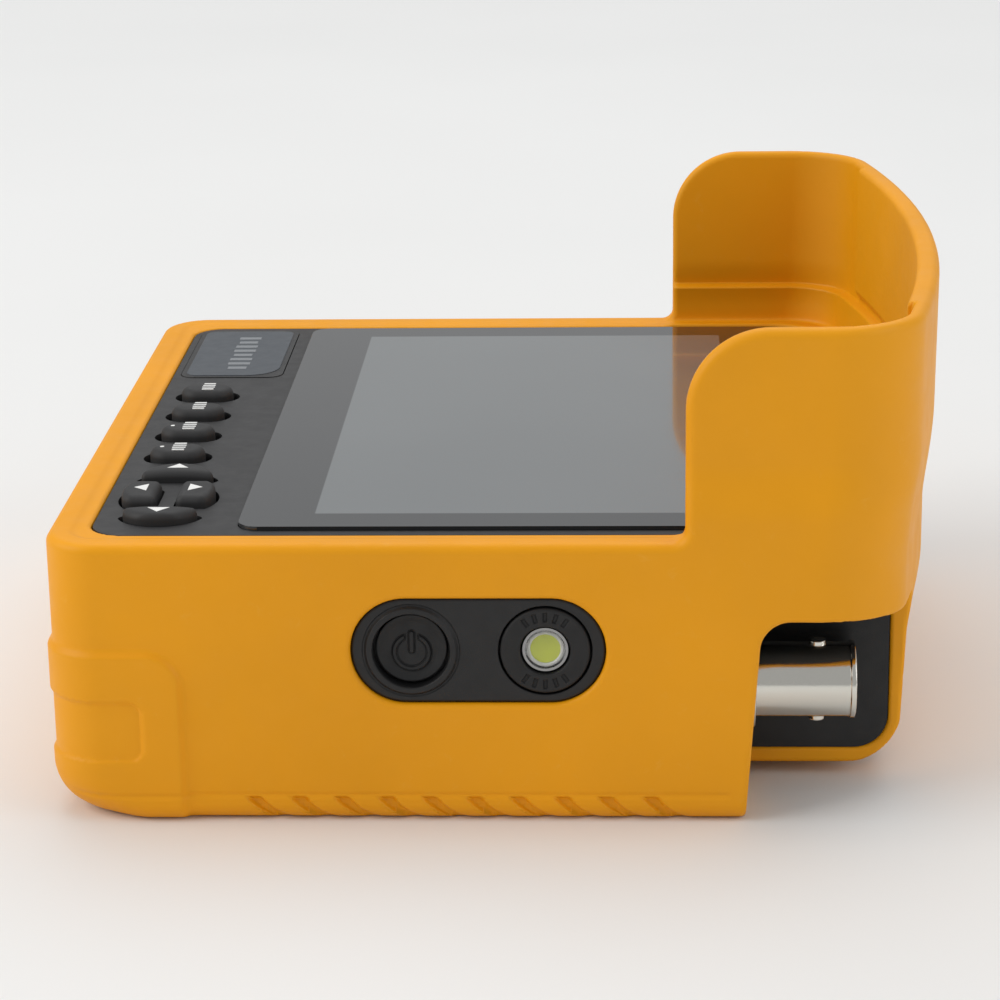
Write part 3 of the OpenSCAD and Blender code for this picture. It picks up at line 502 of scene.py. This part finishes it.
def boot(x, y, z):
    ay = np.abs(y)
    # plan outline; the end wall bows out above the jack notches, and the hood jogs at its ledge
    half = HALF_W - JOG * smooth(z, 38.0, 45.0)
    reach = BOW + JOG * smooth(z, 31.0, 44.0) + 0.011 * np.maximum(z - 44, 0)
    bow = np.hypot(x - (JACK_X + reach - BOW_R), y) - BOW_R
    flat = x - JACK_X + 0.6 - 0.046 * (z - 10)
    end = flat + (bow - flat) * smooth(z, 19.0, 24.5)
    side = ay - half
    wall = rmax(rmax(side, KEY_X - x, CORNER_R), end, END_R)
    # bumper pads round the key end's corners, each with a shallow panel
    pad = rmax(rmax(x - PAD_END_X, z - PAD_TOP, 4.5), PAD_END_Y - ay, 4.5)
    panel = rmax(rmax(x + 43.5, np.abs(z - 11.8) - 3.8, 1.6), 43.4 - ay, 1.6)
    skin = wall - BUMPER * (1 - smooth(pad, -0.7, 0.25)) + 0.35 * (1 - smooth(panel, -0.3, 0.3))
    # grip grooves, and the lip above them
    on_side = smooth(ay, half - 2.5, half - 0.5) * (x < 27.5)
    skin = skin + groove_cut(x, z) * on_side
    skin = skin + 0.16 * np.exp(-((z - 3.55) / 0.3) ** 2) * on_side
    # silhouette: rim of the tub, then the hood with round front corners
    hood = rmax(HOOD_X - x, z - BZ1, HOOD_CORNER_R)
    top = rmin(z - RIM_Z, hood, 1.6)
    out = rmax(skin, top, 1.15)
    foot_r = 2.4 + 4.1 * smooth(-x, 43.0, 52.0)
    out = rmax(out, -z, foot_r)
    # toe: a wide round that meets the end wall at a slight edge
    toe = rmax(1.5 - z, x - JACK_X + 0.5 - 20 * smooth(z, 13, 20), 7.5)
    out = np.maximum(out, np.where(x > 30, toe, -100.0))
    # inside of the hood: ledge below, thinner wall above
    thick = 3.2 - 1.2 * smooth(z, LEDGE_Z - 0.35, LEDGE_Z + 0.35)
    raised = 0.85 * (1 - smooth(ay, 40.3, 40.6)) * smooth(x, 44, 46)
    raised = raised * smooth(z, LEDGE_Z + 0.5, LEDGE_Z + 2.2)
    inside = rmax(wall + thick + raised, RIM_Z - z, 0.6)
    inside = np.maximum(inside, -(z - RIM_Z))
    out = rmax(out, -inside, 0.8)
    # opening in the rim, and the room for the case under it
    opening = rect(x, y, KEY_X + RIM_W, JACK_X - RIM_W, -HALF_W + RIM_W, HALF_W - RIM_W,
                   np.where(x > 0, END_R, 4.5))
    opening = np.maximum(opening, 33.2 - z)
    out = rmax(out, -opening, 0.5)
    room = rect(x, y, KEY_X + ROOM_GAP, JACK_X - ROOM_GAP, -HALF_W + ROOM_GAP, HALF_W - ROOM_GAP,
                np.where(x > 0, 11.7, 5.0))
    room = np.maximum(room, z - 33.4)
    room = rmax(room, 3.8 - z, 4.2)
    out = np.maximum(out, -room)
    # notches for the jacks
    edge_z = 25.65 - 0.006 * np.maximum(x - 36, 0) ** 2
    notch = rmax(NOTCH_X + 0.07 * z - x, z - edge_z, 3.4)
    notch = np.maximum(notch, NOTCH_Y - ay)
    out = rmax(out, -notch, 0.5)
    # base: recess between the foot rails, open middle
    recess = rect(x, y, KEY_X + 14.5, JACK_X + 20, -HALF_W + 14.5, HALF_W - 14.5, 3)
    recess = np.maximum(recess, z - 1.7)
    out = rmax(out, -recess, 0.3)
    middle = rect(x, y, KEY_X + 22.6, JACK_X - 10.6, -HALF_W + 20.5, HALF_W - 20.5, 4)
    middle = np.maximum(middle, z - 5)
    out = rmax(out, -middle, 0.4)
    for cx, cy in FOOT_HOLES:
        hole = np.maximum(np.hypot(x - cx, ay - cy) - 3.0, z - 4.2)
        out = np.maximum(out, -hole)
    # window for the side controls, and the charging port
    centre = np.abs(x - WINDOW_X) - (WINDOW_L - WINDOW_H) / 2
    window = np.hypot(np.maximum(centre, 0), z - WINDOW_Z) - WINDOW_H / 2
    window = np.maximum(window, y + 48)
    out = rmax(out, -window, 0.55)
    port = np.hypot(np.maximum(ay - 3.0, 0), z - PORT_Z) - 4.0
    port = np.maximum(port, 40 - x)
    return rmax(out, -port, 0.4)


fine = 0.45
boot_obj = solid(
    "boot_moulding", boot,
    grid_line((BX0 - 0.6, -30, fine), (-30, 20, fine * 1.25), (20, BX1 + 0.6, fine)),
    grid_line((BY0 - 0.6, -39.5, fine), (-39.5, 39.5, 1.1), (39.5, BY1 + 0.6, fine)),
    grid_line((BZ0 - 0.6, BZ1 + 0.6, fine)),
    0.42)
stand_in(boot_obj, "rubber_boot")

# ---------------------------------------------------------------- keys


def function_key_field(box):
    (x0, y0, z0), (x1, y1, z1) = box
    xc = (x0 + x1) / 2
    yc = (y0 + y1) / 2

    def field(x, y, z):
        u = np.abs(x - xc)
        v = y - yc
        cap = np.hypot(np.maximum(u - 1.25, 0), v) - 2.35
        crown = z1 - 0.12 * (np.maximum(u - 0.8, 0) / 2.4) ** 2 - 0.2 * (v / 2.35) ** 2
        key = rmax(cap, z - crown, 1.0)
        base = np.hypot(np.maximum(u - (x1 - x0 - (y1 - y0)) / 2, 0), v) - (y1 - y0) / 2
        base = rmax(base, z - z0 - 0.8, 0.15)
        return rmax(rmin(key, base, 0.2), z0 - z, 0.1)
    return field


def key_grid(box, spacing):
    (x0, y0, z0), (x1, y1, z1) = box
    pad = 3 * spacing
    return [grid_line((a - pad, b + pad, spacing)) for a, b in ((x0, x1), (y0, y1), (z0, z1))]


KEY_STEP = 0.16
for i in range(1, 5):
    node = f"function_key_{i}"
    key_box = box_mm(node)
    stand_in(solid(f"cap_{node}", function_key_field(key_box), *key_grid(key_box, KEY_STEP)), node)

PAD = (-42.0, -35.6)          # centre of the arrow keys


def arrow_field(turn, z0, z1):
    """turn: 0 to 3 for up (+X), left (+Y), down (-X) and right (-Y)."""
    wing = turn % 2 == 0
    inner, length, width, arc = (1.25, 4.75, 7.4, 6.5) if wing else (7.0, 4.0, 9.8, 5.05)
    c = math.cos(turn * math.pi / 2)
    s = math.sin(turn * math.pi / 2)

    def field(x, y, z):
        u = (x - PAD[0]) * c + (y - PAD[1]) * s
        v = (y - PAD[1]) * c - (x - PAD[0]) * s

        def outline(grow):
            half = width / 2 + grow
            block = rect(u, v, inner - grow, inner + length + grow, -half, half, 0.9 + grow)
            round_end = np.hypot(u - (inner + length - arc), v) - arc - grow
            return rmax(block, round_end, 0.7)
        crown = z1 - 0.014 * ((u - inner - length / 2) ** 2 + v ** 2)
        key = rmax(outline(0), z - crown, 0.95)
        base = rmax(outline(0.6), z - z0 - 0.8, 0.15)
        return rmax(rmin(key, base, 0.2), z0 - z, 0.1)
    return field


ARROWS = ("key_up", "key_left", "key_down", "key_right")
for turn, node in enumerate(ARROWS):
    key_box = box_mm(node)
    field = arrow_field(turn, key_box[0][2], key_box[1][2])
    stand_in(solid(f"cap_{node}", field, *key_grid(key_box, KEY_STEP)), node)


# ---------------------------------------------------------------- side controls

PLATE = box_mm("side_key_plate")
FACE_Y = PLATE[0][1]          # outer face of the plate round the buttons
POWER = box_mm("power_button")
TORCH = box_mm("torch_button")
POWER_X = (POWER[0][0] + POWER[1][0]) / 2
TORCH_X = (TORCH[0][0] + TORCH[1][0]) / 2
POWER_R = 4.3
WELL_R = 4.6                  # inside of the ring round the power button
TORCH_R = 5.4
LAMP_R = 3.0                  # hole in front of the torch lamp
BACK_Y = PLATE[1][1]
INNER_Y = BACK_Y + 1.0        # inner end of the buttons' flanges


def side_plate(x, y, z):
    v = z - WINDOW_Z
    middle = (PLATE[0][0] + PLATE[1][0]) / 2
    tall = (PLATE[1][2] - PLATE[0][2]) / 2 + 0.08
    half = (PLATE[1][0] - PLATE[0][0]) / 2 + 0.08
    edge = np.hypot(np.maximum(np.abs(x - middle) - half + tall, 0), v) - tall
    ring = np.hypot(x - POWER_X, v)
    disc = np.hypot(x - TORCH_X, v)
    raised = 0.28 * (1 - smooth(np.abs(ring - 5.05), 0.28, 0.55))
    groove = 0.12 * (1 - smooth(np.abs(ring - 5.75), 0.05, 0.2))
    out = rmax(edge, FACE_Y - y - raised + groove, 0.45)
    out = np.maximum(out, y - BACK_Y)
    out = rmax(out, WELL_R - ring, 0.25)
    return rmax(out, 5.62 - disc, 0.15)


def power_cap(x, y, z):
    u = x - POWER_X
    v = z - WINDOW_Z
    r = np.hypot(u, v)
    # the on and off sign, raised on the dished face
    w = v + 0.6
    arc = np.abs(np.hypot(u, w) - 2.1) - 0.24
    arc = np.maximum(arc, np.minimum(w, 0.85 - np.abs(u)))
    bar = np.hypot(u, np.maximum(np.abs(w - 1.3) - 1.1, 0)) - 0.3
    sign = np.minimum(arc, bar)
    depth = 1.25 - 0.35 * smooth(r, 3.0, 4.2)
    depth = depth - 0.22 * (1 - smooth(sign, -0.1, 0.08)) + 0.08 * (1 - smooth(np.abs(sign - 0.1), 0, 0.1))
    out = rmax(r - POWER_R, FACE_Y + depth - y, 0.15)
    flange = np.maximum(r - POWER_R - 0.7, BACK_Y + 0.1 - y)
    out = np.minimum(out, flange)
    return np.maximum(out, y - INNER_Y)


def torch_ring(x, y, z):
    u = x - TORCH_X
    v = z - WINDOW_Z
    r = np.hypot(u, v)
    angle = np.degrees(np.arctan2(np.abs(v), u)) - 90
    tick = angle - 17 * np.clip(np.round(angle / 17), -2, 2)
    tick = np.maximum(np.abs(r * np.radians(tick)) - 0.27, np.abs(r - 4.25) - 0.6)
    depth = 0.24 * (1 - smooth(tick, -0.14, 0.06)) - 0.2
    out = rmax(r - TORCH_R, FACE_Y + depth - y, 0.4)
    out = np.minimum(out, np.maximum(r - TORCH_R - 0.6, BACK_Y + 0.1 - y))
    out = np.maximum(out, y - INNER_Y)
    return rmax(out, LAMP_R - r, 0.3)


def lamp_rim(x, y, z):
    r = np.hypot(x - TORCH_X, z - WINDOW_Z)
    return np.hypot(r - 2.05, y - FACE_Y - 0.95) - 0.24


def side_grid(box, spacing, depth=None):
    (x0, y0, z0), (x1, y1, z1) = box
    pad = 3 * spacing
    y1 = y1 if depth is None else y0 + depth
    return (grid_line((x0 - pad, x1 + pad, spacing)), grid_line((y0 - pad, y1 + pad, spacing)),
            grid_line((z0 - pad, z1 + pad, spacing)))


SIDE_STEP = 0.14
BUTTON_STEP = 0.11
stand_in(solid("plate_moulding", side_plate, *side_grid(PLATE, SIDE_STEP)), "side_key_plate")
power_grid = side_grid(POWER, BUTTON_STEP, INNER_Y - POWER[0][1])
torch_grid = side_grid(TORCH, BUTTON_STEP, INNER_Y - TORCH[0][1])
stand_in(solid("power_cap", power_cap, *power_grid), "power_button")
stand_in(solid("torch_cap", torch_ring, *torch_grid), "torch_button")
rim_box = ((TORCH_X - 2.4, FACE_Y + 0.6, WINDOW_Z - 2.4), (TORCH_X + 2.4, FACE_Y + 1.3, WINDOW_Z + 2.4))
rim = solid("lamp_rim", lamp_rim, *side_grid(rim_box, 0.08))
finish_with(rim, "white_plastic")
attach(rim, frame["nodes"]["torch_led"]["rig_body"])

# ---------------------------------------------------------------- jacks


JACK_WALL = NOTCH_X + 0.3     # outer face of the wall that carries the jacks
FLANGE_R = 5.9
BARREL_R = 4.6
THREAD_R = 4.1
BORE_R = 4.05
CORE_R = 2.55                 # room for the insulator
LUG_R = 1.0


def jack_field(box):
    """A jack's shell along +X: thread, flange, barrel with a rolled front edge, two bayonet lugs."""
    (x0, y0, z0), (x1, y1, z1) = box
    yc = (y0 + y1) / 2
    zc = (z0 + z1) / 2

    def field(x, y, z):
        r = np.hypot(y - yc, z - zc)
        flange = rmax(r - FLANGE_R, np.abs(x - JACK_WALL - 0.5) - 0.5, 0.15)
        barrel = rmax(r - BARREL_R - 0.18 * smooth(x, x1 - 0.75, x1 - 0.6), x - x1 + 0.02, 0.2)
        barrel = np.maximum(barrel, x0 + 0.1 - x)
        thread = np.maximum(r - THREAD_R, x0 + 0.1 - x)
        barrel = np.where(x < JACK_WALL + 0.3, thread, barrel)
        out = rmin(flange, barrel, 0.12)
        lug = rmax(np.hypot(x - x1 + 4.6, y - yc) - LUG_R, np.abs(z - zc) - 5.2, 0.2)
        out = rmin(out, lug, 0.15)
        bore = np.maximum(r - BORE_R, JACK_WALL + 2.5 - x)
        out = rmax(out, -bore, 0.15)
        return np.maximum(out, CORE_R - r)
    return field


for side in ("right", "left"):
    node = f"{side}_jack_shell"
    jack_box = box_mm(node)
    stand_in(solid(f"{side}_jack_barrel", jack_field(jack_box), *key_grid(jack_box, 0.16)), node)

# ---------------------------------------------------------------- CAD nodes that stay

def soften(obj, width, segments=2, angle=30):
    """Rounds a CAD node's edges without changing its mesh."""
    weld = obj.modifiers.new("weld", "WELD")
    weld.merge_threshold = 0.002 * MM
    bevel = obj.modifiers.new("edges", "BEVEL")
    bevel.width = width * MM
    bevel.segments = segments
    bevel.limit_method = "ANGLE"
    bevel.angle_limit = math.radians(angle)
    bevel.use_clamp_overlap = True
    bevel.harden_normals = True


replaced = {
    "rubber_boot", "side_key_plate", "power_button", "torch_button", "right_jack_shell", "left_jack_shell",
    *ARROWS, *(f"function_key_{i}" for i in range(1, 5)),
}
SOFT_EDGES = {"front_case": 0.2, "rear_case": 0.2, "display_glass": 0.12, "nameplate": 0.05}
for node, obj in frame["nodes"].items():
    if node in replaced:
        continue
    finish_with(obj, slot_of[node])
    if node == "torch_lens":
        obj.visible_shadow = False      # daylight still reaches the lamp behind it
    if node in SOFT_EDGES:
        soften(obj, SOFT_EDGES[node])

# ---------------------------------------------------------------- legends


def flat_shape(name, points, z, body, height=0.05):
    """A thin raised shape from its outline, on top of a key."""
    bm = bmesh.new()
    ring = [bm.verts.new((x * MM, y * MM, z * MM)) for x, y in points]
    face = bm.faces.new(ring)
    if face.normal.z < 0:
        face.normal_flip()
    face.normal_update()
    out = bmesh.ops.extrude_face_region(bm, geom=[face])
    lifted = [v for v in out["geom"] if isinstance(v, bmesh.types.BMVert)]
    bmesh.ops.translate(bm, verts=lifted, vec=(0, 0, height * MM))
    bmesh.ops.recalc_face_normals(bm, faces=bm.faces)
    mesh = bpy.data.meshes.new(name)
    bm.to_mesh(mesh)
    bm.free()
    obj = bpy.data.objects.new(name, mesh)
    scene.collection.objects.link(obj)
    finish_with(obj, "legend_ink")
    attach(obj, body)
    return obj


for turn, node in enumerate(ARROWS):
    c = math.cos(turn * math.pi / 2)
    s = math.sin(turn * math.pi / 2)
    base_u = 2.6 if turn % 2 == 0 else 8.3
    top_z = box_mm(node)[1][2]
    points = []
    for u, v in ((base_u, -1.35), (base_u + 1.7, 0), (base_u, 1.35)):
        points.append((PAD[0] + u * c - v * s, PAD[1] + u * s + v * c))
    flat_shape(f"legend_{node}", points, top_z - 0.09, node, 0.1)


def bar(name, x, y, length, width, z, body, height=0.15):
    u = length / 2
    v = width / 2
    corners = [(x - u, y - v), (x + u, y - v), (x + u, y + v), (x - u, y + v)]
    return flat_shape(name, corners, z, body, height)


# rows of short bars in place of words, and a dot on two keys
BAR_PITCH = 0.9
DOT_R = 0.3
for i in range(1, 5):
    node = f"function_key_{i}"
    (x0, y0, z0), (x1, y1, z1) = box_mm(node)
    xc = (x0 + x1) / 2
    yc = (y0 + y1) / 2
    sunk_z = z1 - 0.15
    for k in range(4):
        length = 1.75 if k % 3 else 1.6
        bar(f"legend_{node}_{k + 1}", xc + 0.25, yc - 1.35 + BAR_PITCH * k, length, 0.42, sunk_z, node)
    if i < 3:
        spot = []
        for k in range(12):
            turn = k * math.pi / 6
            spot.append((xc - 2.0 + DOT_R * math.cos(turn), yc + DOT_R * math.sin(turn)))
        flat_shape(f"legend_{node}_dot", spot, sunk_z, node, 0.13)

LABEL = box_mm("nameplate")


def label_field(x, y, z):
    (x0, y0, _), (x1, y1, z1) = LABEL
    near_right = (x > (x0 + x1) / 2) & (y < (y0 + y1) / 2)
    plan = rect(x, y, x0 + 0.7, x1 - 0.7, y0 + 0.7, y1 - 0.7, np.where(near_right, 4.5, 1.6))
    return rmax(plan, np.abs(z - z1) - 0.12, 0.08)


label_grid = (grid_line((LABEL[0][0], LABEL[1][0], 0.2)), grid_line((LABEL[0][1], LABEL[1][1], 0.2)),
              grid_line((LABEL[1][2] - 0.3, LABEL[1][2] + 0.3, 0.08)))
label = solid("label_film", label_field, *label_grid)
finish_with(label, "label_film")
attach(label, frame["nodes"]["nameplate"]["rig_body"])
finish_with(frame["nodes"]["nameplate"], "panel_plastic")
(x0, y0, _), (x1, y1, z1) = LABEL
for k in range(8):
    length = 3.2 if k % 3 else 2.7
    mark = bar(f"label_bar_{k + 1}", (x0 + x1) / 2 + 0.4, y0 + 4.6 + 2.4 * k, length, 1.3, z1 + 0.1,
               frame["nodes"]["nameplate"]["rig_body"], 0.05)
    mark.data.materials[0] = MATERIALS["label_ink"]

# ---------------------------------------------------------------- floor, light and camera

bpy.ops.mesh.primitive_plane_add(size=6.0, location=(0, 0, 0))
floor = bpy.context.object
floor.name = "floor"
paper = Nodes("floor_paper")
tone = paper.noise(0.004, 3)
shade = paper.ramp(tone, [(0.3, srgb(232, 232, 231)), (0.7, srgb(236, 236, 235))])
paper.set(Base_Color=shade, Roughness=0.75)
floor.data.materials.append(paper.material)


def area(name, place, target, size, power, colour=(1, 1, 1)):
    data = bpy.data.lights.new(name, "AREA")
    data.shape = "RECTANGLE"
    data.size, data.size_y = size
    data.energy = power
    data.color = colour
    obj = bpy.data.objects.new(name, data)
    scene.collection.objects.link(obj)
    obj.location = place
    obj.rotation_euler = (Vector(target) - Vector(place)).to_track_quat("-Z", "Y").to_euler()
    return obj


area("key_light", (-0.95, -0.28, 0.7), (0, 0, 0.04), (0.8, 0.8), 6.5, (1.0, 0.985, 0.96))
area("top_light", (0.1, 0.7, 1.4), (0, 0.2, 0), (1.6, 1.6), 11.0)
area("side_light", (0.9, -0.35, 0.45), (0, 0, 0.03), (0.5, 0.7), 1.8, (0.97, 0.985, 1.0))

world = bpy.data.worlds.new("studio")
world.use_nodes = True
sky = world.node_tree.nodes["Background"].inputs
sky["Color"].default_value = (0.93, 0.94, 0.95, 1)
sky["Strength"].default_value = 0.5
scene.world = world

pitch, yaw, roll = math.radians(17.55), math.radians(-2.58), math.radians(0.91)
forward = Vector((math.sin(yaw) * math.cos(pitch), math.cos(yaw) * math.cos(pitch), -math.sin(pitch)))
right = Vector((math.cos(yaw), -math.sin(yaw), 0))
down = forward.cross(right)
right, down = (math.cos(roll) * right + math.sin(roll) * down,
               math.cos(roll) * down - math.sin(roll) * right)
camera = bpy.data.cameras.new("camera")
camera.sensor_width = 36
camera.lens = 3.0347 * camera.sensor_width
camera.clip_start, camera.clip_end = 0.02, 20
view = bpy.data.objects.new("camera", camera)
scene.collection.objects.link(view)
view.matrix_world = Matrix((
    (right.x, -down.x, -forward.x, 0.01562),
    (right.y, -down.y, -forward.y, -0.39528),
    (right.z, -down.z, -forward.z, 0.14876),
    (0, 0, 0, 1)))
scene.camera = view
